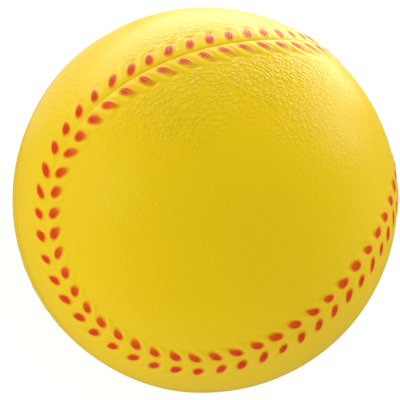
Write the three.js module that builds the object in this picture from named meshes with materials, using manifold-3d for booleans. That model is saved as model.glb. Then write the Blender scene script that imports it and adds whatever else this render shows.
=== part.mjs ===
// A soft play baseball moulded in flexible foam, in millimetres, +Z up.
//
// The origin is the ball's centre. The two halves of the mould met in the XY plane, and
// the seam's long axis lies along X. The ball is a soft foam core inside a denser skin,
// and the skin carries all that is moulded on it: the closed seam groove, the padded band
// on both sides of it, a row of thread-like stitches along each side and the fine flash
// of the parting line. The tops of the stitches are dabbed with red paint.

import * as THREE from 'three';
import { mergeVertices } from 'three/addons/utils/BufferGeometryUtils.js';
import Module from 'manifold-3d';

const wasm = await Module();
wasm.setup();

// Ball
const ballDiameter = 72.8; // over the smooth skin, nine inches round
const skinThickness = 2.6;
const coreClearance = 0.3; // between the core and the skin

// Seam route, over the smooth skin
const neckWidth = 25.5; // from seam to seam where either panel is narrowest
const lobeSwing = 26.3; // degrees that the seam swings out round each lobe
const lobeTrim = 1.95; // degrees that flatten the lobe's sides
const tipTrim = 0.64; // degrees that blunt the lobe's tip

// Groove
const grooveWidth = 0.9;
const grooveDepth = 0.5; // below the padded band

// Padded band, on each side of the groove
const bandHeight = 0.12; // above the smooth skin
const bandMargin = 0.9; // beyond the stitches' far ends
const bandScallop = 0.4; // by which its edge draws in behind each stitch
const bandSink = 0.25; // of its edge into the skin, where it fades out
const puckerHeight = 0.1; // of the padding between two stitches, above the band

// Stitches
const stitchPairs = 108;
const stitchLength = 4.0;
const stitchWidth = 2.3;
const stitchHeight = 0.25; // above the padded band
const stitchGap = 0.1; // from the groove's edge to the stitch
const rightLean = 32; // degrees from square to the seam, to the right of its travel
const leftLean = 22; // degrees from square to the seam, to the left of its travel
const rightStart = 2.15; // along the seam, from its first point to a stitch's middle
const leftStart = 2.8;
const staggerDrift = 0.9; // by which the left row gains and loses on the right row

// Painted back of a stitch, its rounded top inside the foot
const backLength = 3.1;
const backWidth = 1.7;
const backShift = 0.15; // towards the groove, from the stitch's middle
const backRise = 0.75; // height of the back's rim against its peak

// Parting line
const flashWidth = 0.8;
const flashHeight = 0.15;

// Fineness of the facets
const skinDetail = 7;
const coreDetail = 3;
const seamSamples = 2880;
const flashSteps = 48;
const stitchSides = 6; // as many as the rim of a tile has points
const finestFacet = 0.02;

const ballRadius = ballDiameter / 2;
const cavityRadius = ballRadius - skinThickness;
const coreRadius = cavityRadius - coreClearance;
const rightAngle = Math.PI / 2;
const upperTip = 3 / 8; // share of the seam's length where it rounds the upper lobe's tip

const yellow = new THREE.Color('#e3c012');
const red = new THREE.Color('#d4351f');
const foamYellow = new THREE.Color('#ecd552');
const paintTint = new THREE.Color(red.r / yellow.r, red.g / yellow.g, 1);
const skinRoughness = 0.5;
const foamRoughness = 0.9;

// The seam is one closed curve on the sphere. It reaches towards each end of X twice,
// and the reach leaves the neck between two neighbouring tips.
const seamReach = rightAngle - neckWidth / ballDiameter;

function seamDirection(turn) {
  const tip = THREE.MathUtils.degToRad(tipTrim);
  const latitude = (seamReach + tip) * Math.sin(2 * turn) + tip * Math.sin(6 * turn);
  const swing = THREE.MathUtils.degToRad(lobeSwing) * Math.sin(4 * turn);
  const trim = THREE.MathUtils.degToRad(lobeTrim) * Math.sin(8 * turn);
  const longitude = turn - swing + trim - Math.PI / 4;
  return new THREE.Vector3(
    Math.sin(latitude),
    Math.cos(latitude) * Math.cos(longitude),
    Math.cos(latitude) * Math.sin(longitude),
  );
}

// Distances along the seam, so that the stitches are evenly spaced on it.
const seamDistances = [0];
for (let i = 1; i <= seamSamples; i += 1) {
  const before = seamDirection((2 * Math.PI * (i - 1)) / seamSamples);
  const here = seamDirection((2 * Math.PI * i) / seamSamples);
  seamDistances.push(seamDistances[i - 1] + ballRadius * before.angleTo(here));
}
const seamLength = seamDistances[seamSamples];
const stitchPitch = seamLength / stitchPairs;

function seamTurn(distance) {
  const wrapped = THREE.MathUtils.euclideanModulo(distance, seamLength);
  let low = 0;
  let high = seamSamples;
  while (high - low > 1) {
    const middle = Math.floor((low + high) / 2);
    if (seamDistances[middle] > wrapped) {
      high = middle;
    } else {
      low = middle;
    }
  }
  const share = (wrapped - seamDistances[low]) / (seamDistances[high] - seamDistances[low]);
  return (2 * Math.PI * (low + share)) / seamSamples;
}

// The radial direction at a distance along the seam, and the direction to its right.
function seamFrame(distance) {
  const turn = seamTurn(distance);
  const step = Math.PI / seamSamples;
  const out = seamDirection(turn);
  const travel = seamDirection(turn + step).sub(seamDirection(turn - step));
  const right = new THREE.Vector3().crossVectors(out, travel).normalize();
  return { out, right };
}

// A point given by its distance along the seam, to the right of it, and above the skin.
function onBall(along, across, height) {
  const { out, right } = seamFrame(along);
  const angle = across / ballRadius;
  return out
    .multiplyScalar(Math.cos(angle))
    .addScaledVector(right, Math.sin(angle))
    .multiplyScalar(ballRadius + height);
}

function toSolid(geometry) {
  const bare = geometry.clone();
  bare.deleteAttribute('normal');
  bare.deleteAttribute('uv');
  const merged = mergeVertices(bare, 1e-5);
  return new wasm.Manifold(new wasm.Mesh({
    numProp: 3,
    vertProperties: new Float32Array(merged.getAttribute('position').array),
    triVerts: new Uint32Array(merged.getIndex().array),
  }));
}

// The largest body of a solid, without slivers too thin to hold any foam.
function mainBody(solid) {
  return solid.decompose().reduce((best, other) => (
    other.volume() > best.volume() ? other : best
  ));
}

function toGeometry(solid) {
  const mesh = solid.getMesh();
  const geometry = new THREE.BufferGeometry();
  geometry.setAttribute('position', new THREE.BufferAttribute(mesh.vertProperties, 3));
  geometry.setIndex(new THREE.BufferAttribute(mesh.triVerts, 1));
  return geometry;
}

// One row of stitches and the half of the padded band that carries it. The stitches start
// beside the groove and trail back and away from it, so that two rows make chevrons.
class StitchRow {
  constructor(side, leanDegrees, start, drift) {
    this.side = side;
    this.lean = THREE.MathUtils.degToRad(leanDegrees);
    this.start = start;
    this.drift = drift;
    const nearEnd = grooveWidth / 2 + stitchGap;
    const span = stitchLength * Math.cos(this.lean);
    this.middle = nearEnd + span / 2;
    this.edge = nearEnd + span + bandMargin;
  }

  // The distance along the seam of a stitch's middle.
  centre(index) {
    const lap = Math.floor(index / stitchPairs);
    const even = this.start + (index - lap * stitchPairs) * stitchPitch;
    const phase = 2 * Math.PI * (even / seamLength - upperTip);
    return even + this.drift * Math.sin(phase) + lap * seamLength;
  }

  // The distance along the seam of the line between a stitch and the next one.
  between(index) {
    const here = THREE.MathUtils.euclideanModulo(index, stitchPairs);
    return (this.centre(here) + this.centre(here + 1)) / 2;
  }

  // Lines across the band lean as the stitches do.
  leaning(along, away) {
    return along - (away - this.middle) * Math.tan(this.lean);
  }

  // The band's own height, which falls away beyond the stitches and fades into the skin.
  rise(away) {
    const fade = Math.max(0, (away - this.edge + bandMargin) / bandMargin);
    return bandHeight - (bandHeight + bandSink) * fade;
  }

  bandPoint(along, away, extra) {
    return onBall(this.leaning(along, away), this.side * away, this.rise(away) + extra);
  }

  // Both edges of the band, as a point behind each stitch and one between it and the next.
  edgePoints(away, scallop) {
    const points = [];
    for (let i = 0; i < stitchPairs; i += 1) {
      points.push(this.bandPoint(this.centre(i), away - scallop, 0));
      points.push(this.bandPoint(this.between(i), away, puckerHeight));
    }
    return points;
  }

  nearEdge() {
    return this.edgePoints(grooveWidth / 2, 0);
  }

  farEdge() {
    return this.edgePoints(this.edge, bandScallop);
  }

  // A ring of points round a stitch: its foot, or the rim of its back.
  stitchRing(index, length, width, shift, height) {
    const points = [];
    for (let k = 0; k < stitchSides; k += 1) {
      const angle = (2 * Math.PI * k) / stitchSides;
      const run = -Math.cos(angle) * (length / 2) - shift;
      const off = Math.sin(angle) * (width / 2);
      points.push(this.stitchPoint(index, run, off, height));
    }
    return points;
  }

  // The tile of the band that holds one stitch, as nested rings from its rim to its peak.
  tileRings(index, near, far) {
    const here = 2 * index;
    const after = here + 1;
    const before = (here - 1 + near.length) % near.length;
    const rim = [near[here], near[after], far[after], far[here], far[before], near[before]];
    const foot = this.stitchRing(index, stitchLength, stitchWidth, 0, 0);
    const backHeight = stitchHeight * backRise;
    const back = this.stitchRing(index, backLength, backWidth, backShift, backHeight);
    return [rim, foot, back];
  }

  // A point on a stitch, by how far it lies out along it, beside it and above the band.
  stitchPoint(index, run, off, height) {
    const away = this.middle + run * Math.cos(this.lean) + off * Math.sin(this.lean);
    const along = this.centre(index) - run * Math.sin(this.lean) + off * Math.cos(this.lean);
    return onBall(along, this.side * away, this.rise(away) + height);
  }

  peak(index) {
    return this.stitchPoint(index, -backShift, 0, stitchHeight);
  }

  // The dab of paint on a stitch's back, as its middle and its two directions.
  dab(index) {
    const middle = this.peak(index);
    const outer = this.stitchPoint(index, stitchLength / 2, 0, stitchHeight);
    const run = outer.sub(middle).normalize();
    const off = new THREE.Vector3().crossVectors(middle, run).normalize();
    return { middle, run, off };
  }
}

const rightRow = new StitchRow(1, rightLean, rightStart, 0);
const leftRow = new StitchRow(-1, leftLean, leftStart, -staggerDrift);

// Faces between two closed rings of points, facing outwards when side is 1.
function addRing(faces, outer, inner, side) {
  outer.forEach((point, k) => {
    const next = (k + 1) % outer.length;
    const corners = [point, outer[next], inner[next], inner[k]];
    if (side < 0) {
      corners.reverse();
    }
    faces.push(corners[0], corners[1], corners[2], corners[0], corners[2], corners[3]);
  });
}

function addFan(faces, ring, peak, side) {
  ring.forEach((point, k) => {
    const next = ring[(k + 1) % ring.length];
    if (side < 0) {
      faces.push(next, point, peak);
    } else {
      faces.push(point, next, peak);
    }
  });
}

function addTiles(faces, row, near, far) {
  for (let i = 0; i < stitchPairs; i += 1) {
    const rings = row.tileRings(i, near, far);
    addRing(faces, rings[0], rings[1], row.side);
    addRing(faces, rings[1], rings[2], row.side);
    addFan(faces, rings[2], row.peak(i), row.side);
  }
}

// Points under the groove, each at the mean place of its neighbours in the two rows.
function grooveLine(height) {
  const points = [];
  const away = grooveWidth / 2;
  const add = (right, left) => {
    const mean = (rightRow.leaning(right, away) + leftRow.leaning(left, away)) / 2;
    points.push(onBall(mean, 0, height));
  };
  for (let i = 0; i < stitchPairs; i += 1) {
    add(rightRow.centre(i), leftRow.centre(i));
    add(rightRow.between(i), leftRow.between(i));
  }
  return points;
}

const grooveFloor = bandHeight - grooveDepth;
const bandRoot = grooveFloor - (skinThickness + grooveFloor) / 2;

// The padded band is one closed ring of tiles, with the groove down its middle.
function makeBand() {
  const faces = [];
  const rightNear = rightRow.nearEdge();
  const rightFar = rightRow.farEdge();
  const leftNear = leftRow.nearEdge();
  const leftFar = leftRow.farEdge();
  const floor = grooveLine(grooveFloor);
  const root = grooveLine(bandRoot);
  addTiles(faces, rightRow, rightNear, rightFar);
  addTiles(faces, leftRow, leftNear, leftFar);
  addRing(faces, floor, rightNear, 1);
  addRing(faces, leftNear, floor, 1);
  addRing(faces, rightFar, root, 1);
  addRing(faces, root, leftFar, 1);
  return toSolid(new THREE.BufferGeometry().setFromPoints(faces));
}

// The room that the groove and the middle of the band take from the plain ball.
function makeChannel() {
  const wide = grooveWidth / 2 + stitchGap;
  const high = bandHeight + flashHeight;
  const deep = (grooveFloor + bandRoot) / 2;
  const section = [[wide, high], [wide, deep], [-wide, deep], [-wide, high]];
  const steps = 2 * stitchPairs;
  const lines = section.map(([across, height]) => {
    const line = [];
    for (let i = 0; i < steps; i += 1) {
      line.push(onBall((seamLength * i) / steps, across, height));
    }
    return line;
  });
  const faces = [];
  lines.forEach((line, corner) => {
    addRing(faces, line, lines[(corner + 1) % lines.length], 1);
  });
  return toSolid(new THREE.BufferGeometry().setFromPoints(faces));
}

// The flash is the fine ridge that the joint of the mould left round the ball.
function makeFlash() {
  const profile = [
    new THREE.Vector2(ballRadius - skinThickness / 2, 0),
    new THREE.Vector2(ballRadius - flashHeight, -flashWidth / 2),
    new THREE.Vector2(ballRadius + flashHeight, 0),
    new THREE.Vector2(ballRadius - flashHeight, flashWidth / 2),
    new THREE.Vector2(ballRadius - skinThickness / 2, 0),
  ];
  const ring = new THREE.LatheGeometry(profile, flashSteps);
  ring.rotateX(rightAngle);
  return toSolid(ring);
}

function makeBall(radius, detail) {
  return toSolid(new THREE.IcosahedronGeometry(radius, detail));
}

// Everything above the XY plane, to part the skin as the mould did.
function makeUpperSpace() {
  const reach = ballDiameter * 2;
  const space = new THREE.BoxGeometry(reach, reach, reach);
  space.translate(0, 0, reach / 2);
  return toSolid(space);
}

function isPainted(point, dabs) {
  return dabs.some(({ middle, run, off }) => {
    const offset = point.clone().sub(middle);
    if (offset.length() > backLength) {
      return false;
    }
    const share = Math.hypot(offset.dot(run) / backLength, offset.dot(off) / backWidth);
    return share < 0.5;
  });
}

// Tints the facets under the red dabs. All the others keep the material's own colour.
function paintStitches(geometry) {
  const dabs = [];
  for (let i = 0; i < stitchPairs; i += 1) {
    dabs.push(rightRow.dab(i), leftRow.dab(i));
  }
  const facets = geometry.toNonIndexed();
  const position = facets.getAttribute('position');
  const tints = new Float32Array(position.count * 3).fill(1);
  const corners = [new THREE.Vector3(), new THREE.Vector3(), new THREE.Vector3()];
  for (let i = 0; i < position.count; i += 3) {
    corners.forEach((corner, k) => corner.fromBufferAttribute(position, i + k));
    const facet = new THREE.Triangle(...corners);
    if (isPainted(facet.getMidpoint(new THREE.Vector3()), dabs)) {
      corners.forEach((corner, k) => paintTint.toArray(tints, (i + k) * 3));
    }
  }
  facets.setAttribute('color', new THREE.BufferAttribute(tints, 3));
  return facets;
}

function makeMesh(name, geometry, color, roughness) {
  const material = new THREE.MeshStandardMaterial({ color, roughness, metalness: 0 });
  material.vertexColors = geometry.hasAttribute('color');
  const mesh = new THREE.Mesh(geometry, material);
  mesh.name = name;
  return mesh;
}

function makeSkinHalf(name, solid) {
  return makeMesh(name, paintStitches(toGeometry(solid)), yellow, skinRoughness);
}

const plainBall = makeBall(ballRadius, skinDetail).add(makeFlash());
const rawBall = plainBall.subtract(makeChannel()).add(makeBand());
const mouldedBall = mainBody(rawBall.simplify(finestFacet));
const shell = mouldedBall.subtract(makeBall(cavityRadius, coreDetail));
const upperSpace = makeUpperSpace();
const core = makeBall(coreRadius, coreDetail);

const ball = new THREE.Group();
ball.add(makeSkinHalf('skin_half_upper', shell.intersect(upperSpace)));
ball.add(makeSkinHalf('skin_half_lower', shell.subtract(upperSpace)));
ball.add(makeMesh('foam_core', toGeometry(core), foamYellow, foamRoughness));

export default ball;
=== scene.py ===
"""The looks of the soft baseball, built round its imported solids.

The ball is one moulding of soft foam with a dense, leather-grained skin. All that the
skin carries is given as a height over the smooth ball, in millimetres: the closed seam
groove, the padded and puckered band beside it, the thread-like stitches and the parting
line of the mould. The red paint lies on the tops of the stitches.
"""

import logging
import math
from dataclasses import dataclass, field
from enum import Enum

import bmesh
import bpy
import numpy as np
from mathutils import Matrix, Vector, noise


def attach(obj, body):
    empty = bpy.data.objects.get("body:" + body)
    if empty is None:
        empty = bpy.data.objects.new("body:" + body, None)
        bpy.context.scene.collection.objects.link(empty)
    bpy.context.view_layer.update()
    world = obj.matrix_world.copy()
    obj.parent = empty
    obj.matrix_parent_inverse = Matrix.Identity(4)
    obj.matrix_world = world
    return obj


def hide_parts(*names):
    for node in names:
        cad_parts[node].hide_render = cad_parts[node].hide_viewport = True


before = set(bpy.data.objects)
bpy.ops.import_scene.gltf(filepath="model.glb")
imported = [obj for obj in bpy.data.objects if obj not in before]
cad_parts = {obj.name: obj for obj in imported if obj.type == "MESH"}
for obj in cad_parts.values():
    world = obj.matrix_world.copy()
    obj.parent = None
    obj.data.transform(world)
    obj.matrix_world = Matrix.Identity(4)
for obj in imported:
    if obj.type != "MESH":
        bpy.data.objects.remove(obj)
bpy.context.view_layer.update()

log = logging.getLogger("soft_baseball")

MM = 0.001
FULL_TURN = 2 * math.pi
OFF_THE_DAB = 3.0


class SeamSide(Enum):
    """The side of the seam that a row of stitches stands on, seen along its travel."""

    RIGHT = 1
    LEFT = -1


class MouldHalf(Enum):
    """The half of the mould that a half of the skin was formed in."""

    UPPER = 1
    LOWER = -1


def smooth_step(low: float, high: float, value: np.ndarray) -> np.ndarray:
    """Eases from 0 to 1.

    Args:
        low: The value at which the result leaves 0.
        high: The value at which the result reaches 1.
        value: The values to ease.

    Returns:
        The eased values, from 0 to 1.
    """
    share = np.clip((value - low) / (high - low), 0, 1)
    return share * share * (3 - 2 * share)


def bell(offset: np.ndarray, width: float) -> np.ndarray:
    """Returns 1 at no offset, falling away on both sides over the given width."""
    return np.exp(-((offset / width) ** 2))


def linear_colour(red: int, green: int, blue: int) -> tuple[float, float, float, float]:
    """Turns a display colour into the linear one that a shader takes.

    Args:
        red: The red part, from 0 to 255.
        green: The green part, from 0 to 255.
        blue: The blue part, from 0 to 255.

    Returns:
        The linear red, green, blue and an alpha of 1.
    """
    parts = []
    for part in (red, green, blue):
        share = part / 255
        parts.append(share / 12.92 if share <= 0.04045 else ((share + 0.055) / 1.055) ** 2.4)
    return parts[0], parts[1], parts[2], 1.0


@dataclass
class SeamRoute:
    """The closed line that the moulded seam follows round the ball, in millimetres."""

    ball_radius: float = 36.4
    neck_width: float = 25.5
    lobe_swing: float = 26.3
    lobe_trim: float = 1.95
    tip_trim: float = 0.64
    samples: int = 2880
    stride: int = 8

    def __post_init__(self) -> None:
        """Samples the line, its travel and the direction to its right."""
        turns = np.arange(self.samples + 1) * FULL_TURN / self.samples
        half_step = math.pi / self.samples
        self.out = self.directions(turns)
        ahead = self.directions(turns + half_step) - self.directions(turns - half_step)
        self.travel = ahead / np.linalg.norm(ahead, axis=1)[:, None]
        self.right = np.cross(self.out, self.travel)
        steps = np.linalg.norm(np.diff(self.out, axis=0), axis=1) * self.ball_radius
        self.distance = np.concatenate([[0.0], np.cumsum(steps)])
        self.length = float(self.distance[-1])

    def directions(self, turns: np.ndarray) -> np.ndarray:
        """Gives the radial directions of points on the line.

        Args:
            turns: The parameter of each point, in radians, a full turn to the lap.

        Returns:
            One unit vector a row.
        """
        tip = math.radians(self.tip_trim)
        reach = math.pi / 2 - self.neck_width / (2 * self.ball_radius)
        latitude = (reach + tip) * np.sin(2 * turns) + tip * np.sin(6 * turns)
        swing = math.radians(self.lobe_swing) * np.sin(4 * turns)
        trim = math.radians(self.lobe_trim) * np.sin(8 * turns)
        longitude = turns - swing + trim - math.pi / 4
        around = np.cos(latitude)
        parts = [np.sin(latitude), around * np.cos(longitude), around * np.sin(longitude)]
        return np.stack(parts, axis=1)

    def locate(self, outward: np.ndarray) -> tuple[np.ndarray, np.ndarray]:
        """Finds where points on the ball lie against the line.

        Args:
            outward: The radial direction of each point, one unit vector a row.

        Returns:
            The distance along the line and the distance to its right, in millimetres.
        """
        coarse = self.out[: -1 : self.stride]
        nearest = np.empty(len(outward), int)
        for first in range(0, len(outward), 20000):
            part = slice(first, first + 20000)
            nearest[part] = np.argmax(outward[part] @ coarse.T, axis=1) * self.stride
        window = (nearest[:, None] + np.arange(-self.stride, self.stride + 1)) % self.samples
        closeness = np.einsum("ij,ikj->ik", outward, self.out[window])
        here = window[np.arange(len(outward)), np.argmax(closeness, axis=1)]
        lead = np.einsum("ij,ij->i", outward, self.travel[here])
        way = np.where(lead > 0, 1, -1)
        beyond = (here + way) % self.samples
        next_lead = np.einsum("ij,ij->i", outward, self.travel[beyond])
        share = np.clip(lead / np.where(lead == next_lead, 1, lead - next_lead), 0, 1)
        pitch = self.length / self.samples
        along = (self.distance[here] + way * share * pitch) % self.length
        right = self.right[here] * (1 - share)[:, None] + self.right[beyond] * share[:, None]
        across = np.arcsin(np.clip(np.einsum("ij,ij->i", outward, right), -1, 1))
        return along, across * self.ball_radius


@dataclass
class StitchCells:
    """Where points lie in the cell of their own stitch, in millimetres."""

    index: np.ndarray
    phase: np.ndarray
    run: np.ndarray
    off: np.ndarray


@dataclass
class StitchRow:
    """One row of moulded stitches beside the groove, in millimetres and degrees."""

    side: SeamSide
    lean: float
    start: float
    drift: float
    dab_width: float
    fade: float
    seed: int
    route: SeamRoute
    pairs: int = 108
    length: float = 4.0
    width: float = 1.9
    groove_gap: float = 0.55
    margin: float = 0.9
    upper_tip: float = 3 / 8
    length_spread: float = 0.05
    width_spread: float = 0.07
    rise_spread: float = 0.12
    dab_slip_spread: float = 0.09
    dab_spread: float = 0.07
    dab_turn_spread: float = 0.07
    sharpest_dab: float = 0.3

    def __post_init__(self) -> None:
        """Works out the row's places and the small differences between its stitches."""
        self.slant = math.radians(self.lean)
        span = self.length * math.cos(self.slant)
        self.middle = self.groove_gap + span / 2
        self.edge = self.groove_gap + span + self.margin
        self.pitch = self.route.length / self.pairs
        self.centres = self.start + np.arange(self.pairs) * self.pitch
        self.centres = self.centres + self.wander(self.centres)
        chance = np.random.default_rng(self.seed)
        self.length_share = 1 + self.length_spread * self.draw(chance, self.pairs)
        self.width_share = 1 + self.width_spread * self.draw(chance, self.pairs)
        self.rise_share = 1 + self.rise_spread * self.draw(chance, self.pairs)
        self.dab_slip = self.dab_slip_spread * self.draw(chance, (self.pairs, 2))
        self.dab_share = 1 + self.dab_spread * self.draw(chance, (self.pairs, 2))
        self.dab_turn = self.dab_turn_spread * self.draw(chance, self.pairs)
        self.dab_point = chance.uniform(0.0, self.sharpest_dab, self.pairs)

    def draw(self, chance: np.random.Generator, shape: int | tuple[int, int]) -> np.ndarray:
        """Draws random numbers round 0, none of them beyond twice their usual size."""
        return chance.standard_normal(shape).clip(-2, 2)

    def wander(self, along: np.ndarray) -> np.ndarray:
        """Returns how far the row has slipped against the even spacing of the pairs."""
        return self.drift * np.sin(FULL_TURN * (along / self.route.length - self.upper_tip))

    def cells(self, along: np.ndarray, away: np.ndarray) -> StitchCells:
        """Finds each point's stitch and its place on it.

        Args:
            along: Distances along the seam.
            away: Distances from the middle of the groove, on the row's own side.

        Returns:
            The stitch's number, the phase from one gap between stitches to the next,
            and the distances out along the stitch and beside it.
        """
        leaning = along + (away - self.middle) * math.tan(self.slant)
        even = leaning - self.wander(leaning)
        even = leaning - self.wander(even)
        count = (even - self.start) / self.pitch
        whole = np.round(count)
        index = whole.astype(int) % self.pairs
        gap = leaning - self.centres[index]
        gap = (gap + self.route.length / 2) % self.route.length - self.route.length / 2
        off = gap * math.cos(self.slant)
        run = (away - self.middle - off * math.sin(self.slant)) / math.cos(self.slant)
        return StitchCells(index, count - whole, run, off)


@dataclass
class SkinDetail:
    """What the skin carries at each of its points."""

    height: np.ndarray
    marks: dict[str, np.ndarray]


@dataclass
class SkinRelief:
    """The heights of all that is moulded on the ball, over its smooth skin."""

    route: SeamRoute
    band_height: float = 0.08
    pucker_height: float = 0.1
    pucker_sharpness: float = 2.5
    scallop: float = 0.45
    stitch_height: float = 0.14
    stitch_roundness: float = 0.8
    trench_depth: float = 0.05
    trench_at: float = 1.15
    trench_width: float = 0.3
    hole_depth: float = 0.22
    hole_length: float = 1.0
    hole_width: float = 0.8
    hole_gap: float = 0.05
    valley_depth: float = 0.04
    valley_width: float = 0.8
    crease_depth: float = 0.19
    crease_width: float = 0.24
    flash_height: float = 0.1
    flash_width: float = 0.32
    lip_share: float = 1.3
    dab_half_length: float = 1.54
    dab_far_extra: float = 0.12
    dab_inset: float = 0.15
    dab_slimming: float = 0.2
    thin_dabs_at: float = 88.0
    thin_dabs_reach: float = 22.0
    thin_dabs_loss: float = 0.06
    unevenness: float = 0.035
    billow_waves: float = 5.0
    dull_crispness: float = 0.3
    crisp_side: tuple[float, float, float] = (0.38, 0.64, 0.67)
    crisp_range: tuple[float, float] = (0.6, 0.92)
    pad_range: tuple[float, float] = (0.35, 1.5)
    strand_start: tuple[float, float] = (-2.0, -1.6)
    strand_end: tuple[float, float] = (1.1, 2.3)
    strand_flank: tuple[float, float] = (0.75, 1.05)
    fade_range: tuple[float, float] = (-0.6, 1.6)
    least_fade: float = 0.15
    # Strength and widths of the painted shade: a darker colour down in the seam groove and along the
    # parting line's crease.
    groove_shade: float = 0.6
    groove_shade_width: float = 0.35
    parting_shade_width: float = 0.4
    rows: list[StitchRow] = field(init=False)

    def __post_init__(self) -> None:
        """Sets out the two rows of stitches."""
        self.rows = [
            StitchRow(
                SeamSide.RIGHT,
                lean=32,
                start=2.15,
                drift=0.0,
                dab_width=1.95,
                fade=1.1,
                seed=11,
                route=self.route,
            ),
            StitchRow(
                SeamSide.LEFT,
                lean=22,
                start=2.8,
                drift=-0.9,
                dab_width=1.7,
                fade=0.4,
                seed=23,
                route=self.route,
            ),
        ]

    def crispness(self, outward: np.ndarray) -> np.ndarray:
        """Returns how sharply the foam took the mould's detail, which is 1 on one side."""
        share = smooth_step(*self.crisp_range, outward @ np.array(self.crisp_side))
        return self.dull_crispness + (1 - self.dull_crispness) * share

    def parting(self, level: np.ndarray) -> np.ndarray:
        """Returns the height of the parting line's crease and of the flash below it."""
        crease = -self.flash_height * bell(level, self.flash_width)
        lip = self.flash_height * smooth_step(-1.7, -0.5, level) * smooth_step(0, -0.3, level)
        return crease + self.lip_share * lip

    def row_detail(
        self,
        row: StitchRow,
        along: np.ndarray,
        away: np.ndarray,
        crisp: np.ndarray,
    ) -> SkinDetail:
        """Gives the relief on one side of the groove.

        Args:
            row: The row of stitches on that side.
            along: Distances along the seam.
            away: Distances from the middle of the groove.
            crisp: How sharply the foam took the detail.

        Returns:
            The heights and the marks for the finish.
        """
        cell = row.cells(along, away)
        between = 0.5 - 0.5 * np.cos(FULL_TURN * cell.phase)
        edge = row.edge - self.scallop * (1 - between)
        band = 1 - smooth_step(0, 1, (away - edge + row.margin) / row.margin)
        pucker = self.pucker_height * between**self.pucker_sharpness
        pad = pucker * band * smooth_step(*self.pad_range, away)
        half_length = row.length / 2 * row.length_share[cell.index]
        half_width = row.width / 2 * row.width_share[cell.index]
        share = np.hypot(cell.run / half_length, cell.off / half_width)
        rise = self.stitch_height * row.rise_share[cell.index]
        mound = rise * np.clip(1 - share**2, 0, 1) ** self.stitch_roundness
        trench = -self.trench_depth * bell(share - self.trench_at, self.trench_width)
        past_end = cell.run - half_length - self.hole_gap
        hole = np.hypot(past_end / self.hole_length, cell.off / self.hole_width)
        dip = -self.hole_depth * crisp * np.exp(-(hole**2))
        height = self.band_height * band + pad + mound + (trench + dip) * band
        strands = smooth_step(*self.strand_start, cell.run)
        strands = strands * (1 - smooth_step(*self.strand_end, cell.run))
        strands = strands * (1 - smooth_step(*self.strand_flank, np.abs(cell.off)))
        thinning = smooth_step(*self.fade_range, cell.run)
        marks = {
            "smooth_band": 1 - smooth_step(-0.35, 0.35, away - edge),
            "thread_run": cell.run,
            "thread_off": cell.off,
            "thread_mask": crisp * strands,
            "dab": self.dab_reach(row, cell, along, crisp),
            "fade": row.fade * crisp * (self.least_fade + (1 - self.least_fade) * thinning),
            # The hollow mark is painted shade, darkening the colour in the dip past each stitch's far end.
            "hollow": crisp * np.exp(-(hole**2)) * band,
        }
        return SkinDetail(height, marks)

    def dab_reach(
        self,
        row: StitchRow,
        cell: StitchCells,
        along: np.ndarray,
        crisp: np.ndarray,
    ) -> np.ndarray:
        """Measures how far out a point lies in its stitch's dab of paint.

        Args:
            row: The row of stitches.
            cell: The points' places on their stitches.
            along: Distances along the seam.
            crisp: How sharply the foam took the detail.

        Returns:
            A share that is 0 at the middle of the dab, 1 at its edge and more beyond it.
        """
        index = cell.index
        turn = row.dab_turn[index]
        run = cell.run + self.dab_inset - row.dab_slip[index, 0]
        off = cell.off - row.dab_slip[index, 1]
        turned_run = run * np.cos(turn) + off * np.sin(turn)
        turned_off = off * np.cos(turn) - run * np.sin(turn)
        thin = 1 - self.thin_dabs_loss * bell(along - self.thin_dabs_at, self.thin_dabs_reach)
        far = self.dab_far_extra * smooth_step(0.0, 1.2, turned_run)
        crisp_share = (crisp - self.dull_crispness) / (1 - self.dull_crispness)
        slim = self.dab_slimming * row.fade * crisp_share
        half_length = (self.dab_half_length + far) * thin * (1 + slim / 3)
        half_length = half_length * row.dab_share[index, 0]
        half_width = row.dab_width / 2 * (0.35 + 0.65 * thin) * (1 - slim)
        half_width = half_width * row.dab_share[index, 1]
        taper = 1 - row.dab_point[index] * np.clip(turned_run / half_length, -1, 1)
        reach = np.hypot(turned_run / half_length, turned_off / (half_width * taper))
        return np.minimum(reach, OFF_THE_DAB)

    def detail(self, outward: np.ndarray) -> SkinDetail:
        """Gives the relief of the whole skin.

        Args:
            outward: The radial direction of each point, one unit vector a row.

        Returns:
            The heights and the marks for the finish.
        """
        along, across = self.route.locate(outward)
        away = np.abs(across)
        crisp = self.crispness(outward)
        height = np.zeros(len(outward))
        names = ("smooth_band", "thread_run", "thread_off", "thread_mask", "dab", "fade", "hollow")
        marks = {name: np.zeros(len(outward)) for name in names}
        marks["dab"] += OFF_THE_DAB
        for row in self.rows:
            own = (across * row.side.value >= 0) & (away < row.edge + 1.5)
            found = self.row_detail(row, along[own], away[own], crisp[own])
            height[own] += found.height
            for name, values in found.marks.items():
                marks[name][own] = values
        height -= self.valley_depth * bell(away, self.valley_width)
        height -= self.crease_depth * crisp * bell(away, self.crease_width)
        level = outward[:, 2] * self.route.ball_radius
        # Painted shade: the groove mark darkens the colour in the seam groove, more on the crisp side, and
        # along the parting line's crease.
        crease_shade = self.groove_shade * crisp * bell(away, self.groove_shade_width)
        marks["groove"] = np.maximum(crease_shade, bell(level, self.parting_shade_width))
        height += self.parting(level)
        height += self.unevenness * self.billow(outward)
        return SkinDetail(height, marks)

    def billow(self, outward: np.ndarray) -> np.ndarray:
        """Returns the slow rise and fall that soft foam keeps out of the mould."""
        waves = [noise.noise(Vector(point) * self.billow_waves) for point in outward]
        return np.array(waves)


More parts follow.
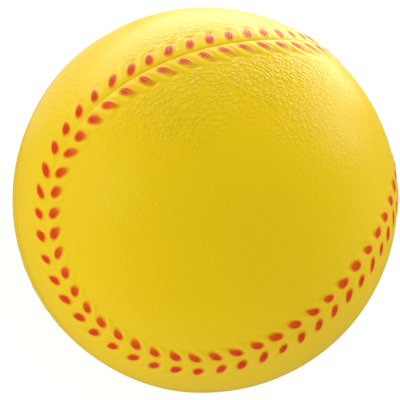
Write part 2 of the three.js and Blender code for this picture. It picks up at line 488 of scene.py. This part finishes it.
@dataclass
class NodeBench:
    """Adds shader nodes to one material, with few words for each."""

    tree: bpy.types.NodeTree

    def add(self, kind: str, **settings: object) -> bpy.types.Node:
        """Adds a node.

        Args:
            kind: The node's type name, without the word that all of them start with.
            **settings: Properties of the node to set.

        Returns:
            The new node.
        """
        node = self.tree.nodes.new("ShaderNode" + kind)
        for name, value in settings.items():
            setattr(node, name, value)
        return node

    def plug(self, value: object, socket: bpy.types.NodeSocket) -> None:
        """Links an output to a socket, or sets the socket to a plain value."""
        if isinstance(value, bpy.types.NodeSocket):
            self.tree.links.new(value, socket)
        else:
            socket.default_value = value

    def math(self, operation: str, *values: object) -> bpy.types.NodeSocket:
        """Adds a Math node.

        Args:
            operation: The node's operation.
            *values: Its inputs, as outputs or numbers.

        Returns:
            The node's output.
        """
        node = self.add("Math", operation=operation)
        for value, socket in zip(values, node.inputs):
            self.plug(value, socket)
        return node.outputs[0]

    def ease(self, value: object, low: float, high: float) -> bpy.types.NodeSocket:
        """Adds a Map Range node that eases from 0 to 1.

        Args:
            value: The output to ease.
            low: The value that gives 0.
            high: The value that gives 1.

        Returns:
            The node's output.
        """
        node = self.add("MapRange", interpolation_type="SMOOTHSTEP")
        self.plug(value, node.inputs["Value"])
        node.inputs["From Min"].default_value = low
        node.inputs["From Max"].default_value = high
        return node.outputs[0]

    def mark(self, name: str) -> bpy.types.NodeSocket:
        """Returns the value of one of the piece's own attributes."""
        return self.add("Attribute", attribute_name=name).outputs["Fac"]

    def millimetres(self) -> bpy.types.NodeSocket:
        """Returns the object's own coordinates in millimetres."""
        place = self.add("TexCoord").outputs["Object"]
        mapping = self.add("Mapping")
        mapping.inputs["Scale"].default_value = (1 / MM, 1 / MM, 1 / MM)
        self.tree.links.new(place, mapping.inputs["Vector"])
        return mapping.outputs["Vector"]

    def noise(self, place: object, scale: float, detail: float = 2.0) -> bpy.types.Node:
        """Adds a Noise Texture.

        Args:
            place: The coordinates that it reads, in millimetres.
            scale: How many of its waves go to a millimetre.
            detail: How many finer waves are added to it.

        Returns:
            The node.
        """
        node = self.add("TexNoise")
        self.plug(place, node.inputs["Vector"])
        node.inputs["Scale"].default_value = scale
        node.inputs["Detail"].default_value = detail
        return node

    def cells(self, place: object, scale: float, feature: str) -> bpy.types.NodeSocket:
        """Adds a Voronoi Texture.

        Args:
            place: The coordinates that it reads, in millimetres.
            scale: How many of its cells go to a millimetre.
            feature: What it measures in each cell.

        Returns:
            The distance that it measures.
        """
        node = self.add("TexVoronoi", feature=feature)
        self.plug(place, node.inputs["Vector"])
        node.inputs["Scale"].default_value = scale
        return node.outputs["Distance"]

    def blend(self, share: object, first: object, second: object) -> bpy.types.NodeSocket:
        """Adds a colour Mix node.

        Args:
            share: How much of the second colour shows.
            first: The first colour.
            second: The second colour.

        Returns:
            The mixed colour.
        """
        node = self.add("Mix", data_type="RGBA")
        self.plug(share, node.inputs[0])
        self.plug(first, node.inputs[6])
        self.plug(second, node.inputs[7])
        return node.outputs[2]


@dataclass(frozen=True)
class SkinFinish:
    """The satin yellow skin with its leather grain and the red paint on the stitches."""

    name: str = "moulded_skin"
    yellow: tuple[float, float, float, float] = linear_colour(225, 191, 2)
    # The deep yellow serves both as a random deeper tone and as the colour of the painted shade.
    deep_yellow: tuple[float, float, float, float] = linear_colour(206, 160, 0)
    red: tuple[float, float, float, float] = linear_colour(199, 22, 2)
    thin_red: tuple[float, float, float, float] = linear_colour(233, 80, 8)
    roughness: float = 0.35
    specular: float = 0.12
    paint_roughness: float = 0.28
    paint_specular: float = 0.09
    grain_height: float = 0.15
    grain_pitch: float = 1.1
    grain_warp: float = 0.8
    grain_faintest: float = 0.22
    grain_gain: float = 0.9
    grain_patches: float = 0.5
    wrinkle_share: float = 0.15
    band_smoothness: float = 0.92
    crisp_side: tuple[float, float, float] = (0.271, 0.868, 0.416)
    crisp_range: tuple[float, float] = (0.52, 0.82)
    grained_side: tuple[float, float, float] = (0.139, 0.354, 0.925)
    grained_range: tuple[float, float] = (0.7, 0.96)
    ball_radius: float = 36.4
    skin_noise_height: float = 0.012
    thread_height: float = 0.095
    thread_pitch: float = 0.5
    twist_pitch: float = 0.62
    twist_share: float = 0.1
    paint_raggedness: float = 0.3
    paint_edge: tuple[float, float] = (0.84, 1.48)
    thin_red_edge: tuple[float, float] = (0.9, 1.65)
    # How far the colour darkens towards the deep yellow: painted shade in the grain's wrinkles, the seam
    # groove, the parting crease and the hollows past the stitches. The clouds are a random tone.
    shade_in_wrinkles: float = 0.12
    stain_in_clouds: float = 0.14
    shade_in_creases: float = 0.5
    shade_in_hollows: float = 0.75

    def grain(self, bench: NodeBench, place: bpy.types.NodeSocket) -> bpy.types.NodeSocket:
        """Adds the leather grain.

        Args:
            bench: Where the nodes go.
            place: The coordinates in millimetres.

        Returns:
            The grain's height, from 0 in its wrinkles to 1 on its pebbles.
        """
        wobble = bench.noise(place, 0.9).outputs["Color"]
        warp = bench.add("VectorMath", operation="MULTIPLY_ADD")
        bench.plug(wobble, warp.inputs[0])
        warp.inputs[1].default_value = (self.grain_warp, self.grain_warp, self.grain_warp)
        bench.plug(place, warp.inputs[2])
        warped = warp.outputs[0]
        pebbles = bench.cells(warped, 1 / self.grain_pitch, "DISTANCE_TO_EDGE")
        corners = bench.ease(bench.cells(warped, 1 / self.grain_pitch, "F1"), 0.3, 0.75)
        domes = bench.ease(pebbles, 0.0, 0.25)
        domes = bench.math("MULTIPLY", domes, bench.math("MULTIPLY_ADD", corners, -0.6, 1.0))
        wrinkles = bench.cells(warped, 2.1 / self.grain_pitch, "DISTANCE_TO_EDGE")
        fine = bench.ease(wrinkles, 0.0, 0.4)
        domes = bench.math("MULTIPLY", domes, 1 - self.wrinkle_share)
        return bench.math("MULTIPLY_ADD", fine, self.wrinkle_share, domes)

    def grain_amount(
        self,
        bench: NodeBench,
        place: bpy.types.NodeSocket,
    ) -> bpy.types.NodeSocket:
        """Works out how much of the grain shows, with less of it on the padded band.

        Args:
            bench: Where the nodes go.
            place: The coordinates in millimetres.

        Returns:
            The amount, which is about 1 where the grain is crispest.
        """
        cloud = bench.noise(place, 0.07, 3.0).outputs["Fac"]
        uneven = bench.math("MULTIPLY_ADD", cloud, self.grain_patches, -self.grain_patches / 2)
        crisp = bench.math("ADD", self.facing(bench, place, self.crisp_side), uneven)
        patches = bench.ease(crisp, *self.crisp_range)
        grained = bench.ease(self.facing(bench, place, self.grained_side), *self.grained_range)
        patches = bench.math("MULTIPLY", patches, grained)
        calm = bench.math("MULTIPLY", bench.mark("smooth_band"), self.band_smoothness)
        plain = bench.math("SUBTRACT", 1.0, calm)
        shown = bench.math("MULTIPLY_ADD", patches, self.grain_gain, self.grain_faintest)
        return bench.math("MULTIPLY", plain, shown)

    def facing(
        self,
        bench: NodeBench,
        place: bpy.types.NodeSocket,
        side: tuple[float, float, float],
    ) -> bpy.types.NodeSocket:
        """Measures how far the skin faces a side.

        Args:
            bench: Where the nodes go.
            place: The coordinates in millimetres.
            side: The direction from the middle of the ball.

        Returns:
            The cosine of the angle between the two.
        """
        along = bench.add("VectorMath", operation="DOT_PRODUCT")
        bench.plug(place, along.inputs[0])
        along.inputs[1].default_value = side
        return bench.math("DIVIDE", along.outputs["Value"], self.ball_radius)

    def threads(self, bench: NodeBench) -> bpy.types.NodeSocket:
        """Adds the twisted strands of the stitches.

        Args:
            bench: Where the nodes go.

        Returns:
            The strands' height, from 0 between two strands to 1 on top of one.
        """
        off = bench.mark("thread_off")
        run = bench.mark("thread_run")
        ribs = bench.math("COSINE", bench.math("MULTIPLY", off, math.pi / self.thread_pitch))
        ribs = bench.math("ABSOLUTE", ribs)
        slope = bench.math("MULTIPLY_ADD", off, 1.1, run)
        twist = bench.math("COSINE", bench.math("MULTIPLY", slope, FULL_TURN / self.twist_pitch))
        return bench.math("MULTIPLY_ADD", twist, self.twist_share, ribs)

    def make(self) -> bpy.types.Material:
        """Builds the material.

        Returns:
            The material.
        """
        material = bpy.data.materials.new(self.name)
        material.use_nodes = True
        bench = NodeBench(material.node_tree)
        shader = material.node_tree.nodes["Principled BSDF"]
        place = bench.millimetres()
        grain = self.grain(bench, place)
        amount = self.grain_amount(bench, place)
        grain_rise = bench.math("MULTIPLY", bench.math("MULTIPLY", grain, amount), self.grain_height)
        strand_rise = bench.math("MULTIPLY", self.threads(bench), self.thread_height)
        strand_rise = bench.math("MULTIPLY", strand_rise, bench.mark("thread_mask"))
        skin_noise = bench.noise(place, 2.4, 3.0).outputs["Fac"]
        rise = bench.math("ADD", grain_rise, strand_rise)
        rise = bench.math("MULTIPLY_ADD", skin_noise, self.skin_noise_height, rise)
        bump = bench.add("Bump")
        bump.inputs["Distance"].default_value = MM
        bench.plug(rise, bump.inputs["Height"])
        bench.plug(bump.outputs["Normal"], shader.inputs["Normal"])
        cover = self.paint(bench, place)
        skin_colour = self.colour(bench, place, grain, amount)
        bench.plug(self.painted(bench, place, skin_colour, cover), shader.inputs["Base Color"])
        bench.plug(self.gloss(bench, skin_noise, cover), shader.inputs["Roughness"])
        wet = bench.math("MULTIPLY_ADD", cover, self.paint_specular - self.specular, self.specular)
        bench.plug(wet, shader.inputs["Specular IOR Level"])
        return material

    def paint(self, bench: NodeBench, place: bpy.types.NodeSocket) -> bpy.types.NodeSocket:
        """Adds the cover of the red paint.

        Args:
            bench: Where the nodes go.
            place: The coordinates in millimetres.

        Returns:
            The paint's cover, from 0 off the dabs to 1 where it is thickest.
        """
        ragged = bench.noise(place, 2.2, 3.0).outputs["Fac"]
        reach = bench.math("MULTIPLY_ADD", ragged, self.paint_raggedness, bench.mark("dab"))
        return bench.math("SUBTRACT", 1.0, bench.ease(reach, *self.paint_edge))

    def colour(
        self,
        bench: NodeBench,
        place: bpy.types.NodeSocket,
        grain: bpy.types.NodeSocket,
        amount: bpy.types.NodeSocket,
    ) -> bpy.types.NodeSocket:
        """Adds the bare skin's colour: a random cloudy tone, with painted shade in the grain's wrinkles,
        the groove, the parting crease and the hollows.

        Args:
            bench: Where the nodes go.
            place: The coordinates in millimetres.
            grain: The height of the grain.
            amount: How much of the grain shows.

        Returns:
            The colour.
        """
        cloud = bench.ease(bench.noise(place, 0.035, 4.0).outputs["Fac"], 0.25, 0.75)
        # Painted shade: the colour darkens in the grain's wrinkles, the groove and parting crease, and the
        # hollows. The clouds are a random tone.
        valley = bench.math("MULTIPLY", bench.math("SUBTRACT", 1.0, grain), amount)
        depth = bench.math("MULTIPLY", cloud, self.stain_in_clouds)
        depth = bench.math("MULTIPLY_ADD", valley, self.shade_in_wrinkles, depth)
        depth = bench.math("MULTIPLY_ADD", bench.mark("groove"), self.shade_in_creases, depth)
        depth = bench.math("MULTIPLY_ADD", bench.mark("hollow"), self.shade_in_hollows, depth)
        return bench.blend(depth, self.yellow, self.deep_yellow)

    def painted(
        self,
        bench: NodeBench,
        place: bpy.types.NodeSocket,
        skin: bpy.types.NodeSocket,
        cover: bpy.types.NodeSocket,
    ) -> bpy.types.NodeSocket:
        """Adds the red paint, which thins out in streaks towards each stitch's far end.

        Args:
            bench: Where the nodes go.
            place: The coordinates in millimetres.
            skin: The bare skin's colour.
            cover: The cover of the paint.

        Returns:
            The colour.
        """
        thin = bench.noise(place, 1.6, 2.0).outputs["Fac"]
        rim = bench.math("MULTIPLY_ADD", thin, 0.8, bench.mark("dab"))
        tone = bench.blend(bench.ease(rim, *self.thin_red_edge), self.red, self.thin_red)
        streak = bench.math("MULTIPLY_ADD", self.threads(bench), 0.5, 0.25)
        streak = bench.math("MULTIPLY", streak, bench.mark("fade"))
        share = bench.math("MULTIPLY", cover, bench.math("MULTIPLY_ADD", thin, 0.2, 0.86))
        share = bench.math("MULTIPLY", share, bench.math("SUBTRACT", 1.0, streak))
        return bench.blend(bench.math("MINIMUM", share, 1.0), skin, tone)

    def gloss(
        self,
        bench: NodeBench,
        skin_noise: bpy.types.NodeSocket,
        cover: bpy.types.NodeSocket,
    ) -> bpy.types.NodeSocket:
        """Adds the roughness, which varies a little over the skin and drops on the paint.

        Args:
            bench: Where the nodes go.
            skin_noise: The skin's fine unevenness.
            cover: The cover of the paint.

        Returns:
            The roughness.
        """
        skin = bench.math("MULTIPLY_ADD", skin_noise, 0.1, self.roughness - 0.05)
        return bench.math("MULTIPLY_ADD", cover, self.paint_roughness - self.roughness, skin)


@dataclass(frozen=True)
class FoamFinish:
    """The matt open-celled foam inside the skin."""

    name: str = "open_foam"
    foam: tuple[float, float, float, float] = linear_colour(236, 213, 82)
    # The pore colour is painted shade, darker down in the foam's cells.
    pore: tuple[float, float, float, float] = linear_colour(196, 160, 40)
    roughness: float = 0.9
    specular: float = 0.2
    cell_depth: float = 0.22

    def make(self) -> bpy.types.Material:
        """Builds the material.

        Returns:
            The material.
        """
        material = bpy.data.materials.new(self.name)
        material.use_nodes = True
        bench = NodeBench(material.node_tree)
        shader = material.node_tree.nodes["Principled BSDF"]
        place = bench.millimetres()
        large = bench.ease(bench.cells(place, 0.8, "F1"), 0.15, 0.65)
        small = bench.ease(bench.cells(place, 2.2, "F1"), 0.1, 0.7)
        wall = bench.math("MULTIPLY_ADD", small, 0.4, bench.math("MULTIPLY", large, 0.6))
        bump = bench.add("Bump")
        bump.inputs["Distance"].default_value = MM
        bench.plug(bench.math("MULTIPLY", wall, self.cell_depth), bump.inputs["Height"])
        bench.plug(bump.outputs["Normal"], shader.inputs["Normal"])
        # Painted shade: the colour darkens towards the pore colour down in each cell.
        bench.plug(bench.blend(wall, self.pore, self.foam), shader.inputs["Base Color"])
        shader.inputs["Roughness"].default_value = self.roughness
        shader.inputs["Specular IOR Level"].default_value = self.specular
        return material


def rest_in_frame(piece: bpy.types.Object, node: str) -> None:
    """Seats a finished soft piece in the frame.

    Args:
        piece: The piece.
        node: The CAD node that it stands for.
    """
    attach(piece, "root")
    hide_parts(node)


def make_object(name: str, bm: bmesh.types.BMesh, finish: bpy.types.Material) -> bpy.types.Object:
    """Turns a bmesh in millimetres into an object in metres.

    Args:
        name: The object's name.
        bm: The bmesh, which is freed.
        finish: The object's material.

    Returns:
        The object.
    """
    bmesh.ops.scale(bm, vec=(MM, MM, MM), verts=bm.verts)
    mesh = bpy.data.meshes.new(name)
    bm.to_mesh(mesh)
    bm.free()
    mesh.materials.append(finish)
    piece = bpy.data.objects.new(name, mesh)
    bpy.context.scene.collection.objects.link(piece)
    return piece


@dataclass
class SkinHalf:
    """One half of the ball's skin, a closed shell that ends at the parting plane."""

    name: str
    node: str
    half: MouldHalf
    relief: SkinRelief
    wall: float = 2.6
    outer_level: int = 6
    inner_level: int = 5
    seam_reaches: tuple[float, ...] = (7.2, 5.9, 4.75)
    parting_reaches: tuple[float, ...] = (2.6, 1.5, 0.5)

    def dome(self, radius: float, level: int) -> bmesh.types.BMesh:
        """Cuts a plain ball down to this half.

        Args:
            radius: The ball's radius.
            level: How many times its facets are divided.

        Returns:
            The open dome.
        """
        bm = bmesh.new()
        bmesh.ops.create_icosphere(bm, subdivisions=level, radius=radius)
        upper = self.half is MouldHalf.UPPER
        bmesh.ops.bisect_plane(
            bm,
            geom=[*bm.verts, *bm.edges, *bm.faces],
            dist=1e-4,
            plane_co=(0, 0, 0),
            plane_no=(0, 0, 1),
            use_snap_center=True,
            clear_inner=upper,
            clear_outer=not upper,
        )
        return bm

    def refine(self, bm: bmesh.types.BMesh) -> None:
        """Divides the facets near the seam and the parting line, step by step.

        Args:
            bm: The dome.
        """
        radius = self.relief.route.ball_radius
        for seam_reach, parting_reach in zip(self.seam_reaches, self.parting_reaches):
            middles = np.array([face.calc_center_median() for face in bm.faces])
            outward = middles / np.linalg.norm(middles, axis=1)[:, None]
            across = np.abs(self.relief.route.locate(outward)[1])
            near = (across < seam_reach) | (np.abs(middles[:, 2]) < parting_reach)
            edges = {edge for face, close in zip(bm.faces, near) if close for edge in face.edges}
            order = [edge for edge in bm.edges if edge in edges]
            bmesh.ops.subdivide_edges(bm, edges=order, cuts=1, use_grid_fill=True)
            bmesh.ops.triangulate(bm, faces=[face for face in bm.faces if len(face.verts) > 3])
            for vert in bm.verts:
                vert.co = vert.co.normalized() * radius

    def emboss(self, bm: bmesh.types.BMesh) -> None:
        """Moves the dome's points out and in by the relief.

        Args:
            bm: The dome.
        """
        outward = np.array([vert.co.normalized() for vert in bm.verts])
        height = self.relief.detail(outward).height
        places = outward * (self.relief.route.ball_radius + height)[:, None]
        for vert, place in zip(bm.verts, places.tolist()):
            vert.co = place

    def line(self, bm: bmesh.types.BMesh) -> None:
        """Closes the dome with its inner wall and the rim at the parting plane.

        Args:
            bm: The embossed dome.
        """
        inner = self.dome(self.relief.route.ball_radius - self.wall, self.inner_level)
        bmesh.ops.reverse_faces(inner, faces=inner.faces)
        lining = bpy.data.meshes.new("lining")
        inner.to_mesh(lining)
        inner.free()
        bm.from_mesh(lining)
        bpy.data.meshes.remove(lining)
        rim = [edge for edge in bm.edges if edge.is_boundary]
        for edge in rim:
            edge.smooth = False
        bmesh.ops.bridge_loops(bm, edges=rim)

    def mark(self, piece: bpy.types.Object) -> None:
        """Writes the marks that the finish reads onto the mesh.

        Args:
            piece: The finished skin half.
        """
        mesh = piece.data
        places = np.empty(len(mesh.vertices) * 3)
        mesh.vertices.foreach_get("co", places)
        places = places.reshape(-1, 3) / MM
        radii = np.linalg.norm(places, axis=1)
        outside = radii > self.relief.route.ball_radius - self.wall / 2
        for name, values in self.relief.detail(places / radii[:, None]).marks.items():
            plain = OFF_THE_DAB if name == "dab" else 0.0
            attribute = mesh.attributes.new(name, "FLOAT", "POINT")
            attribute.data.foreach_set("value", np.where(outside, values, plain))

    def build(self, finish: bpy.types.Material) -> bpy.types.Object:
        """Builds the half and seats it in the frame.

        Args:
            finish: The skin's material.

        Returns:
            The half's object.
        """
        bm = self.dome(self.relief.route.ball_radius, self.outer_level)
        self.refine(bm)
        self.emboss(bm)
        self.line(bm)
        bmesh.ops.triangulate(bm, faces=[face for face in bm.faces if len(face.verts) > 3])
        bmesh.ops.recalc_face_normals(bm, faces=bm.faces)
        for face in bm.faces:
            face.smooth = True
        piece = make_object(self.name, bm, finish)
        self.mark(piece)
        rest_in_frame(piece, self.node)
        return piece


@dataclass
class FoamCore:
    """The soft ball of open-celled foam inside the skin."""

    name: str = "soft_core"
    node: str = "foam_core"
    radius: float = 33.42
    level: int = 7
    cell_depth: float = 0.12
    cell_waves: float = 0.45
    cell_reach: float = 0.7

    def build(self, finish: bpy.types.Material) -> bpy.types.Object:
        """Builds the core and seats it in the frame.

        Args:
            finish: The foam's material.

        Returns:
            The core's object.
        """
        bm = bmesh.new()
        bmesh.ops.create_icosphere(bm, subdivisions=self.level, radius=self.radius)
        for vert in bm.verts:
            pore = noise.voronoi(vert.co * self.cell_waves)[0][0]
            depth = self.cell_depth * max(0.0, self.cell_reach - pore)
            vert.co = vert.co.normalized() * (self.radius - depth)
        for face in bm.faces:
            face.smooth = True
        piece = make_object(self.name, bm, finish)
        rest_in_frame(piece, self.node)
        return piece


@dataclass
class Lamp:
    """One soft lamp of the studio, placed by its direction from the ball, in metres.

    A lamp that is sheen only shows as a gloss on what it lights and adds nothing else.
    """

    name: str
    towards: tuple[float, float, float]
    distance: float
    width: float
    height: float
    watts: float
    aim: tuple[float, float, float] = (0, 0, 0)
    sheen_only: bool = False

    def light(self) -> bpy.types.Object:
        """Hangs the lamp, turned towards the point that it aims at.

        Returns:
            The lamp's object.
        """
        data = bpy.data.lights.new(self.name, "AREA")
        data.shape = "RECTANGLE"
        data.size = self.width
        data.size_y = self.height
        data.energy = self.watts
        lamp = bpy.data.objects.new(self.name, data)
        place = Vector(self.towards).normalized() * self.distance
        lamp.location = place
        lamp.rotation_euler = (place - Vector(self.aim)).to_track_quat("Z", "Y").to_euler()
        lamp.visible_camera = False
        lamp.visible_diffuse = not self.sheen_only
        bpy.context.scene.collection.objects.link(lamp)
        return lamp


@dataclass
class Studio:
    """The pale floor, the soft light and the camera, in metres."""

    floor_level: float = -0.0366
    floor_reach: float = 3.0
    camera_back: tuple[float, float, float] = (-0.297, 0.074, 0.952)
    camera_right: tuple[float, float, float] = (0.81, -0.508, 0.292)
    camera_distance: float = 0.2792
    focal_length: float = 131.76
    shift_right: float = -0.01234
    room_light: float = 0.86
    room_gloss: float = 0.1
    floor_light: float = 1.5
    floor_gloss: float = 0.16
    floor_white: float = 1.05
    floor_glow: float = 0.85
    lamps: list[Lamp] = field(
        default_factory=lambda: [
            Lamp("rim_lamp", (0.62, 0.75, -0.23), 0.1, 0.18, 0.05, 0.035, (0.02, 0.03, 0.06)),
            Lamp("sheen", (0.55, 0.8, -0.24), 0.1, 0.26, 0.07, 0.28, (0.02, 0.03, 0.06), True),
            Lamp("card", (0.055, 0.065, -0.0355), 0.0922, 0.06, 0.05, 0.005, (0.055, 0.065, 1), True),
            Lamp("card_2", (-0.006, 0.065, -0.0355), 0.0743, 0.05, 0.05, 0.0045, (-0.006, 0.065, 1), True),
            Lamp("top_lamp", (0.52, 0.84, 0.15), 0.6, 0.25, 0.25, 0.35),
            Lamp("fill_lamp", (-0.785, 0.538, 0.239), 0.6, 0.4, 0.4, 0.7),
            Lamp("side_lamp", (0.93, 0.05, 0.16), 0.6, 0.3, 0.3, 1.5),
        ]
    )

    def floor(self) -> bpy.types.Object:
        """Lays the floor.

        Returns:
            The floor's object.
        """
        bm = bmesh.new()
        bmesh.ops.create_grid(bm, x_segments=1, y_segments=1, size=self.floor_reach)
        bmesh.ops.translate(bm, verts=bm.verts, vec=(0, 0, self.floor_level))
        mesh = bpy.data.meshes.new("floor")
        bm.to_mesh(mesh)
        bm.free()
        mesh.materials.append(self.floor_finish())
        floor = bpy.data.objects.new("floor", mesh)
        bpy.context.scene.collection.objects.link(floor)
        return floor

    def floor_finish(self) -> bpy.types.Material:
        """Makes the floor's white, which the camera sees as the studio's backdrop. The floor also glows:
        it lights the ball from below and shows as a dim glow in its reflections.

        Returns:
            The material.
        """
        material = bpy.data.materials.new("studio_floor")
        material.use_nodes = True
        tree = material.node_tree
        bench = NodeBench(tree)
        tree.nodes.remove(tree.nodes["Principled BSDF"])
        matt = bench.add("BsdfDiffuse")
        matt.inputs["Color"].default_value = (0.85, 0.85, 0.85, 1)
        white = bench.add("Emission")
        path = bench.add("LightPath")
        seen = path.outputs["Is Camera Ray"]
        mirrored = path.outputs["Is Glossy Ray"]
        glow = bench.math("MULTIPLY_ADD", seen, self.floor_white - self.floor_light, self.floor_light)
        glow = bench.math("MULTIPLY_ADD", mirrored, self.floor_gloss - self.floor_light, glow)
        bench.plug(glow, white.inputs["Strength"])
        mix = bench.add("MixShader")
        bench.plug(bench.math("MULTIPLY_ADD", seen, self.floor_glow - 1, 1.0), mix.inputs[0])
        bench.plug(matt.outputs[0], mix.inputs[1])
        bench.plug(white.outputs[0], mix.inputs[2])
        bench.plug(mix.outputs[0], tree.nodes["Material Output"].inputs["Surface"])
        return material

    def room(self) -> None:
        """Lights the room evenly and shows it white behind the ball."""
        world = bpy.data.worlds.new("studio")
        world.use_nodes = True
        bpy.context.scene.world = world
        bench = NodeBench(world.node_tree)
        background = world.node_tree.nodes["Background"]
        background.inputs["Color"].default_value = (1, 1, 1, 1)
        path = bench.add("LightPath")
        seen = path.outputs["Is Camera Ray"]
        mirrored = path.outputs["Is Glossy Ray"]
        strength = bench.math("MULTIPLY_ADD", seen, 1 - self.room_light, self.room_light)
        strength = bench.math("MULTIPLY_ADD", mirrored, self.room_gloss - self.room_light, strength)
        bench.plug(strength, background.inputs["Strength"])

    def camera(self) -> bpy.types.Object:
        """Sets up the camera at the photograph's angle.

        Returns:
            The camera's object.
        """
        data = bpy.data.cameras.new("camera")
        data.lens = self.focal_length
        data.sensor_width = 36
        data.shift_x = self.shift_right
        data.clip_start = 0.01
        data.clip_end = 20
        camera = bpy.data.objects.new("camera", data)
        back = Vector(self.camera_back).normalized()
        right = Vector(self.camera_right)
        right = (right - back * right.dot(back)).normalized()
        axes = Matrix((right, back.cross(right), back)).transposed().to_4x4()
        camera.matrix_world = Matrix.Translation(back * self.camera_distance) @ axes
        bpy.context.scene.collection.objects.link(camera)
        bpy.context.scene.camera = camera
        return camera

    def build(self) -> None:
        """Builds the studio."""
        self.camera()
        self.floor()
        self.room()
        for lamp in self.lamps:
            lamp.light()
        bpy.context.scene.view_settings.view_transform = "Standard"


def main() -> None:
    """Builds the studio and the ball, and logs how many facets each piece of the ball has."""
    logging.basicConfig(level=logging.INFO, format="%(name)s: %(message)s")
    Studio().build()
    relief = SkinRelief(SeamRoute())
    skin = SkinFinish().make()
    pieces = [
        SkinHalf("upper_skin", "skin_half_upper", MouldHalf.UPPER, relief).build(skin),
        SkinHalf("lower_skin", "skin_half_lower", MouldHalf.LOWER, relief).build(skin),
        FoamCore().build(FoamFinish().make()),
    ]
    for piece in pieces:
        log.info("%s: %d facets", piece.name, len(piece.data.polygons))


if __name__ == "__main__":
    main()
